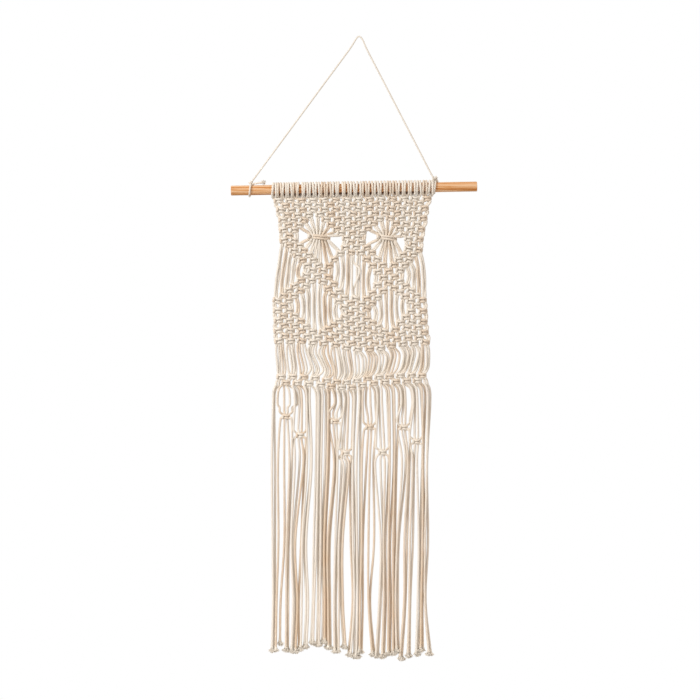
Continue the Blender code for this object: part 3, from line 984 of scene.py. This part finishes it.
    def _free_run(self, strand: int, above: int, below: int,
                  luck: random.Random) -> list[Vector]:
        """Return a strand's points between two knots that lie some rows apart.

        Args:
            strand: The strand's number.
            above: The row of the knot above, or 0 at the dowel.
            below: The row of the knot below.
            luck: The seeded source of the small unevenness.

        Returns:
            The points, from the top down, without the knots' own.
        """
        column = strand // 2
        for eye in EYES:
            if eye.first <= column < eye.last and above < EYE_ROW < below:
                return self._through_waist(eye, strand)
        middle = (above + below) // 2
        key = (self.site(column, middle), middle)
        centre, half = self.windows.get(key, (column, 1.0))
        lean = max(-1.0, min(1.0, (centre - column - 0.5) / half))
        count = max(1, round((below - above) / self.rows_per_point))
        points = []
        for k in range(1, count + 1):
            share = k / (count + 1)
            point = self.lattice(column + 0.5, blend(above, below, share))
            point += self._pair_offset(strand)
            point.x += self.bow * lean * math.sin(math.pi * share)
            points.append(point + wander(luck, self.sway))
        if (strand, centre) in TANGLE:
            points = [points[0] + up(self.tangle_rise), mm(*TANGLE[(strand, centre)]),
                      points[-1] - up(self.tangle_rise)]
        return points

    def _through_waist(self, eye: Eye, strand: int) -> list[Vector]:
        """Return a strand's points through the big knot at its eye's waist.

        Args:
            eye: The gathered window.
            strand: The strand's number.

        Returns:
            The points: the knot's turns for the two outermost strands, two for the others.
        """
        first, last = 2 * eye.first, 2 * eye.last - 1
        if strand not in (first, last):
            share = (strand - first + 0.5) / (last + 1 - first)
            place = mm(blend(eye.left, eye.right, share), 0.0,
                       blend(eye.z_left, eye.z_right, share))
            place.y = side(strand) * self.waist_depth
            return [place + up(self.waist_rise), place - up(self.waist_rise)]
        centre = mm((eye.left + eye.right) / 2, 0.0, (eye.z_left + eye.z_right) / 2)
        shape = KnotShape((eye.right - eye.left) / 2 * MM, self.waist_knot_half_height,
                          self.waist_knot_depth, self.waist_knot_depth)
        tilt = (eye.z_right - eye.z_left) / (eye.right - eye.left)
        points = shape.points(centre, 0 if strand == first else 3)
        return [p + up((p.x - centre.x) * tilt) for p in points]

    def _spacer(self, strand: int, luck: random.Random) -> list[Vector]:
        """Return the points of a strand's free run between the net and the band.

        Args:
            strand: The strand's number.
            luck: The seeded source of the small unevenness.

        Returns:
            The points, from the top down.
        """
        left, right = next(pair for pair in zip(SLITS, SLITS[1:]) if strand < pair[1].strand)
        share = (strand - left.strand + 0.5) / (right.strand - left.strand)
        share = 0.5 + (share - 0.5) * self.bundle_width
        top = self.lattice((strand + 0.5) / 2, self.rows + 1)
        foot = self.band((strand + 0.5) / 2, 0)
        points = []
        for fall, start, end in zip(self.slit_falls, left[1:], right[1:]):
            point = top.lerp(foot, fall)
            point.x = blend(start, end, share) * MM
            point.y += side(strand) * self.pair_depth / 2
            points.append(point + wander(luck, self.sway))
        return points

    def hitch(self, number: int, x: float) -> list[Vector]:
        """Return the turn of one cord over the dowel, from its left leg to its right.

        Args:
            number: The hitch's number, from the left.
            x: The hitch's middle on the dowel.

        Returns:
            The points, which start and end just below the dowel.
        """
        reach = self.dowel.radius + Ply.MACRAME.value.radius + self.hitch_clearance
        half = self.hitch_half + OPEN_HITCHES.get(number, 0.0) * MM
        lean = random.Random(number).uniform(-1, 1) * self.hitch_lean
        # The leg comes up in front, flared at its foot, goes over the top and down behind.
        leg = [Vector((self.leg_share * half, self.hitch_clearance, -reach - self.leg_drop)),
               Vector((half + self.hitch_flare, -self.foot_front * reach,
                       -self.foot_drop * reach))]
        for angle in map(math.radians, self.hitch_angles):
            height = math.sin(angle)
            flare = self.hitch_flare * (0.5 - 0.5 * height) if angle < math.pi / 2 else 0.0
            leg.append(Vector((half + flare, -reach * math.cos(angle), reach * height)))
        bar = Vector((0.0, self.bar_back * reach, -reach))
        middle = Vector((x, 0.0, self.dowel.centre(x)))
        turns = [Vector((-p.x, p.y, p.z)) for p in leg] + [bar, *reversed(leg)]
        return [middle + p + Vector((lean * p.z / reach, 0.0, 0.0)) for p in turns]


# ------------------------------------------------------------------ the fringe

@dataclass
class Fringe:
    """The hanging ends: 56 strands, the knots tied in them and their frayed tips."""

    net: Net
    knot: KnotShape = KnotShape(half_width=3.8 * MM, half_height=2.9 * MM)
    root_depth: float = 0.6
    root_drop: float = 1.0 * MM
    parting: float = 0.75
    parting_drop: float = 6.5 * MM
    arm_reach: float = 7.4 * MM
    arm_rise: float = 5.6 * MM
    core_reach: float = 2.0 * MM
    arm_depth: float = 1.5 * MM
    arm_foot: float = 0.95
    arm_flare: float = 0.06
    core_depth: float = 0.8 * MM
    knot_room: float = 22.0 * MM
    sway: float = 0.9 * MM
    strand_gap: float = 2.5 * MM
    least_gap: float = 1.5 * MM
    layer: float = 1.5 * MM
    knee_depth: float = 0.8
    brush_rise: float = 4.0 * MM
    fibres: int = 90
    tuft_core: float = 0.8
    tuft_length: float = 10.3 * MM
    tuft_change: float = 0.15
    tuft_lean: float = 1.2 * MM
    tuft_reach: float = 4.7 * MM
    tuft_depth: float = 0.75
    tuft_ragged: float = 0.18
    tuft_crowding: float = 0.6
    tuft_dome: float = 0.28
    tuft_belly: float = 0.4
    tuft_drop: float = 2.6 * MM
    tuft_points: int = 3

    def _lock_places(self, height: str) -> list[float]:
        """Find the x of all strands at one height of the table of locks.

        Args:
            height: The name of the table's column.

        Returns:
            The places, from the left.
        """
        places = []
        for lock in LOCKS:
            for k in range(lock.strands):
                offset = (k - (lock.strands - 1) / 2) * self.strand_gap
                places.append(getattr(lock, height) * MM + offset)
        return spread(places, self.least_gap)

    def _knot_route(self, dangle: Dangle, strand: int) -> list[Vector]:
        """Return a strand's points through a knot that is tied in the fringe.

        Args:
            dangle: The knot.
            strand: Which of its four strands, from the left.

        Returns:
            The points, with the two that lead in and the one that leads out.
        """
        centre = mm(dangle.x, 0.0, dangle.z)
        reach = (-self.arm_reach, -self.core_reach, self.core_reach, self.arm_reach)[strand]
        depth = (-self.arm_depth, self.core_depth, -self.core_depth, self.arm_depth)[strand]
        lead_in = centre + Vector((reach, depth, self.arm_rise))
        lead_out = centre + Vector((self.arm_foot * reach, -depth, -self.arm_rise))
        above = lead_in + Vector((self.arm_flare * reach, 0.0, self.arm_rise))
        return [above, lead_in, *self.knot.points(centre, strand), lead_out]

    def routes(self, luck: random.Random) -> list[list[Vector]]:
        """Return each strand's points from under the band to its cut end.

        Args:
            luck: The seeded source of the small unevenness.

        Returns:
            One route for each strand, from the left.
        """
        places = zip(*(self._lock_places(name) for name in ("upper", "knee", "end")))
        tips = [lock.z_end * MM for lock in LOCKS for _ in range(lock.strands)]
        tied = {2 * dangle.column - 2 + k: (dangle, k) for dangle in DANGLES for k in range(4)}
        routes = []
        for strand, (high, knee, end) in enumerate(places):
            # A fall's places are its left and right end's, first high and then low.
            upper, lower = (x * MM for x in FALLS[strand // 2][strand % 2::2])
            depth = side(strand) * self.layer
            root = self.net.band((strand + 0.5) / 2, BAND_LEVELS[-1].row)
            parted = root.lerp(Vector((upper, 0.0, root.z)), self.parting)
            route = [root + Vector((0.0, depth * self.root_depth, -self.root_drop)),
                     parted + Vector((0.0, depth, -self.parting_drop)),
                     Vector((upper, depth, UPPER_FALL_Z * MM))]
            low = LOWER_FALL_Z * MM
            if strand in tied:
                route += self._knot_route(*tied[strand])
                low = min(low, tied[strand][0].z * MM - self.knot_room)
            sway = wander(luck, self.sway)
            routes.append(route + [
                Vector((lower, depth, low)) + sway, Vector((high, depth, UPPER_Z * MM)) - sway,
                Vector((knee, depth * self.knee_depth, KNEE_Z * MM)) + sway,
                Vector((end, depth, tips[strand] + self.brush_rise))])
        return routes

    def tuft(self, tip: Vector, luck: random.Random, ragged: float) -> list[list[Vector]]:
        """Return the loose fibres of one cut end, which open like a brush.

        Args:
            tip: The end of the strand, where the brush is widest.
            luck: The seeded source of the fibres' directions.
            ragged: The share of the brush's length by which its fibres differ.

        Returns:
            One short path for each fibre.
        """
        core = Ply.MACRAME.value.radius * self.tuft_core
        length = self.tuft_length * luck.uniform(1 - self.tuft_change, 1 + self.tuft_change)
        lean = Vector((luck.uniform(-1, 1), luck.uniform(-0.5, 0.5), 0.0)) * self.tuft_lean
        paths = []
        for _ in range(self.fibres):
            angle = luck.uniform(0, math.tau)
            share = luck.random() ** self.tuft_crowding
            out = Vector((math.cos(angle), math.sin(angle) * self.tuft_depth, 0.0)) * share
            drop = length * (1.0 - self.tuft_dome * share * share - luck.uniform(0, ragged))
            start = tip + out * core + up(length)
            middle = start.lerp(tip, 0.5) + out * (self.tuft_reach - core) * self.tuft_belly
            end = tip + lean + out * self.tuft_reach + up(length - drop)
            paths.append(smooth_path([start, middle, end],
                                     self.tuft_length / self.tuft_points))
        return paths


# ------------------------------------------------------------------ the macrame

@dataclass
class Macrame:
    """The 28 doubled cords, from the dowel to their frayed ends."""

    net: Net
    fringe: Fringe
    path_step: float = 1.2 * MM
    cord_step: float = 1.25 * MM
    shades: tuple[float, float] = (0.15, 1.0)
    fibre_step: float = 1.8 * MM
    fibre_shade: float = 1.0

    def knot(self, cords: CordTree, fibres: CordTree, luck: random.Random) -> None:
        """Lay the cords through hitch, net, band and fringe, and fray their ends.

        Args:
            cords: The tree that lays the cords.
            fibres: The tree that lays the loose fibres.
            luck: The seeded source of the small unevenness.
        """
        net, fringe = self.net, self.fringe
        uppers = [net.strand_route(strand, luck) for strand in range(2 * net.columns)]
        strands = [upper + lower for upper, lower in zip(uppers, fringe.routes(luck))]
        tufts: list[list[Vector]] = []
        drop = up(fringe.brush_rise + fringe.tuft_drop)
        for number, x in enumerate(net.hitch_places()):
            left, right = strands[2 * number:2 * number + 2]
            route = [*reversed(left), *net.hitch(number, x), *right]
            path = smooth_path(route, self.path_step)
            cord = cords.lay(f"macrame_cord_{number + 1:02d}", [path], Ply.MACRAME,
                             self.cord_step, luck.uniform(*self.shades), net.thickness)
            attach(cord, BODY)
            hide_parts("knotted_panel", "fringe")
            for end in (left[-1], right[-1]):
                tufts += fringe.tuft(end - drop, luck, fringe.tuft_ragged)
            LOG.info("cord %d: %.2f m, %d triangles", number + 1, length_of(path),
                     2 * len(cord.data.polygons))
        fray = fibres.lay("frayed_ends", tufts, Ply.FIBRE, self.fibre_step, self.fibre_shade)
        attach(fray, BODY)
        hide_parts("fringe")
        LOG.info("frayed ends: %d fibres", len(tufts))


# ------------------------------------------------------------------ hanging cord and ties

@dataclass
class Hanger:
    """The thin cord that the dowel hangs from, and its two ties."""

    dowel: Dowel
    fringe: Fringe
    tie_radius: float = 2.3 * MM
    clearance: float = 0.3 * MM
    cord_radius: float = 1.0 * MM
    shares: tuple[float, ...] = (0.0, 0.33, 0.66, 0.9)
    turn_points: int = 12
    first_angle: float = math.radians(80)
    tail_start: Vector = field(default_factory=lambda: mm(1.5, -0.3, -1.1))
    tail_shares: tuple[float, ...] = (0.4, 0.7, 1.0)
    path_step: float = 2.0 * MM
    cord_step: float = 1.0 * MM
    cord_shade: float = 0.5
    tie_path_step: float = 0.9 * MM
    tie_step: float = 0.8 * MM
    tie_shade: float = 0.55
    fray_seat: float = 0.6
    fray_ragged: float = 0.6
    fray_step: float = 1.5 * MM
    fray_shade: float = 0.7

    def tie_centre(self, x: float) -> Vector:
        """Return the middle of the tie on top of the dowel at x."""
        rise = self.dowel.radius + self.clearance + self.tie_radius
        return Vector((x, 0.0, self.dowel.centre(x) + rise))

    def route(self) -> list[Vector]:
        """Find the cord's own points: taut from the left tie to the nail and down.

        Returns:
            The points. The nail is at the origin.
        """
        slopes = []
        for tie in TIES:
            centre = self.tie_centre(tie.x * MM)
            start = centre - centre.normalized() * (self.tie_radius + self.clearance)
            slopes.append([start * (1 - share) for share in self.shares])
        return [*slopes[0], *(mm(*place) for place in CROWN), *reversed(slopes[1])]

    def tie_path(self, tie: Tie) -> list[Vector]:
        """Return the path of one tie: its knot, its turns round the dowel and its tail.

        Args:
            tie: The tie's row of the table.

        Returns:
            The points of the one cord that makes them.
        """
        x = tie.x * MM
        centre = self.tie_centre(x)
        axis = Vector((x, 0.0, self.dowel.centre(x)))
        reach = self.dowel.radius + self.clearance + Ply.TIE.value.radius
        points = [centre + mm(*place) for place in TIE_START]
        steps = self.turn_points * tie.turns
        for k in range(steps + 1):
            angle = self.first_angle - math.tau * tie.turns * k / steps
            shift = (k / steps - 0.5) * tie.lean * tie.turns * MM
            shift += 0.5 * tie.lean * MM * math.sin(angle)
            points.append(axis + Vector((shift, -reach * math.cos(angle),
                                         reach * math.sin(angle))))
        points += [centre + mm(*place) for place in TIE_KNOT]
        along = Vector((math.cos(self.dowel.tilt), 0.0, math.sin(self.dowel.tilt)))
        tail = along * tie.tail * MM + up(tie.rise * MM)
        points += [centre + self.tail_start + tail * share for share in self.tail_shares]
        return smooth_path(points, self.tie_path_step)

    def hang(self, cords: CordTree) -> None:
        """Args:
            cords: The tree that lays the cord.
        """
        path = smooth_path(self.route(), self.path_step)
        cord = cords.lay("hanging_cord", [path], Ply.HANGING, self.cord_step,
                         self.cord_shade)
        length = length_of(path)
        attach(cord, BODY)
        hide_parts("hanger_cord")
        tuple(path[0])
        [tuple(p) for p in path]
        LOG.info("hanging cord: %.0f mm", length / MM)

    def tie(self, cords: CordTree, luck: random.Random) -> None:
        """Make both ties, each with a short frayed end.

        Args:
            cords: The tree that lays the ties and their fibres.
            luck: The seeded source of the fibres' directions.
        """
        for tie in TIES:
            path = self.tie_path(tie)
            turn = cords.lay(tie.name, [path], Ply.TIE, self.tie_step, self.tie_shade)
            way = Vector(tie.points_to).normalized()
            turned = up(-1.0).rotation_difference(way)
            tip = path[-1] + way * (self.fringe.tuft_length * tie.brush * self.fray_seat)
            brush = [[tip + turned @ (point * tie.brush) for point in fibre]
                     for fibre in self.fringe.tuft(Vector(), luck, self.fray_ragged)]
            fray = cords.lay(tie.name + "_fray", brush, Ply.FIBRE, self.fray_step,
                             self.fray_shade)
            for piece in (turn, fray):
                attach(piece, BODY)
                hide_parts(tie.node)
            LOG.info("%s: turn, knot and frayed end", tie.name)


# ------------------------------------------------------------------ the set

class Lamp(NamedTuple):
    """An area lamp, in metres: its place from the hanging's middle, its power and its size."""

    name: str
    place: tuple[float, float, float]
    power: float
    size: float


LAMPS = (Lamp("key", (-1.9, -1.7, 0.9), 47.0, 0.9), Lamp("fill", (1.6, -1.6, -0.2), 6.0, 1.6),
         Lamp("back", (0.4, 1.8, 0.6), 9.0, 1.4))


@dataclass
class Studio:
    """Plain pale floor, soft light and the camera."""

    centre: Vector = field(default_factory=lambda: mm(-11.75, 0.0, -381.0))
    distance: float = 2.6
    picture_width: float = 0.848
    sensor: float = 36.0
    sky: str = "#FFF1E4"
    light_below: float = 0.3
    light_above: float = 0.88
    floor_paint: str = "#EFF3F8"
    floor_roughness: float = 0.9
    floor_z: float = -0.92
    floor_radius: float = 0.5
    floor_sides: int = 96

    def build(self) -> None:
        """Add the camera, the lights, the world and the floor."""
        self._camera()
        self._lights()
        self._world()
        self._floor()

    def _camera(self) -> None:
        """Set the camera straight in front of the hanging."""
        lens = bpy.data.cameras.new("camera")
        lens.sensor_width = self.sensor
        lens.lens = self.sensor * self.distance / self.picture_width
        camera = new_object("camera", lens)
        camera.location = self.centre + Vector((0.0, -self.distance, 0.0))
        camera.rotation_euler = (math.pi / 2, 0.0, 0.0)
        bpy.context.scene.camera = camera

    def _lights(self) -> None:
        """Add one large soft key from the upper left and two weaker lamps."""
        for lamp in LAMPS:
            glow = bpy.data.lights.new(lamp.name, "AREA")
            glow.energy = lamp.power
            glow.size = lamp.size
            light = new_object(lamp.name, glow)
            light.location = self.centre + Vector(lamp.place)
            way = self.centre - light.location
            light.rotation_euler = way.to_track_quat("-Z", "Y").to_euler()

    def _world(self) -> None:
        """Show plain white behind the hanging and light it more gently."""
        world = bpy.data.worlds.new("white studio")
        bpy.context.scene.world = world
        world.use_nodes = True
        world.node_tree.nodes.clear()
        add = partial(add_node, world.node_tree)
        shown = add("ShaderNodeBackground", Color=(1.0, 1.0, 1.0, 1.0), Strength=1.0)
        way = add("ShaderNodeTexCoord").outputs["Generated"]
        height = add("ShaderNodeSeparateXYZ", Vector=way).outputs["Z"]
        strength = add("ShaderNodeMapRange", Value=height, From_Min=-1.0, From_Max=1.0,
                       To_Min=self.light_below, To_Max=self.light_above)
        lit = add("ShaderNodeBackground", Color=linear_colour(self.sky), Strength=strength)
        seen = add("ShaderNodeLightPath").outputs["Is Camera Ray"]
        mixed = add("ShaderNodeMixShader", s0=seen, s1=lit, s2=shown)
        add("ShaderNodeOutputWorld", Surface=mixed)
        view = bpy.context.scene.view_settings
        view.view_transform = "Standard"
        view.look = "None"

    def _floor(self) -> None:
        """Lay a round pale floor under the hanging."""
        turns = (math.tau * k / self.floor_sides for k in range(self.floor_sides))
        rim = [(self.centre.x + self.floor_radius * math.cos(turn),
                self.floor_radius * math.sin(turn), self.floor_z) for turn in turns]
        mesh = bpy.data.meshes.new("floor")
        mesh.from_pydata(rim, [], [list(range(self.floor_sides))])
        # Rolled wall paint: an even pale face without shine.
        paint, add = new_finish("pale matt paint")
        shader = add("ShaderNodeBsdfPrincipled", Base_Color=linear_colour(self.floor_paint),
                     Roughness=self.floor_roughness)
        add("ShaderNodeOutputMaterial", Surface=shader)
        mesh.materials.append(paint)
        floor = new_object("floor", mesh)


# ------------------------------------------------------------------ putting it together

def main() -> None:
    """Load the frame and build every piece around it."""
    logging.basicConfig(level=logging.INFO, format="%(name)s: %(message)s")
    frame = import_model()
    luck = random.Random(28)
    Studio().build()
    dowel = Dowel()
    dowel.dress(frame["nodes"]["dowel"], WoodFinish().material())
    cords = CordTree(CottonFinish().material())
    # The thin cord is twisted tighter, so it looks greyer. Combed-out ends catch more light
    # than the cord they come from; their whiter colour is also painted light, which makes up
    # for the shade that their fibres cast on each other.
    thin_cords = CordTree(CottonFinish(name="thin cotton cord", light="#E6E1D8",
                                       deep="#CFC7BA").material())
    fibres = CordTree(CottonFinish(name="combed cotton ends", light="#FFF9EE",
                                   deep="#F6E6D0").material())
    net = Net(dowel)
    fringe = Fringe(net)
    hanger = Hanger(dowel, fringe)
    hanger.hang(thin_cords)
    hanger.tie(cords, luck)
    Macrame(net, fringe).knot(cords, fibres, luck)


if __name__ == "__main__":
    main()
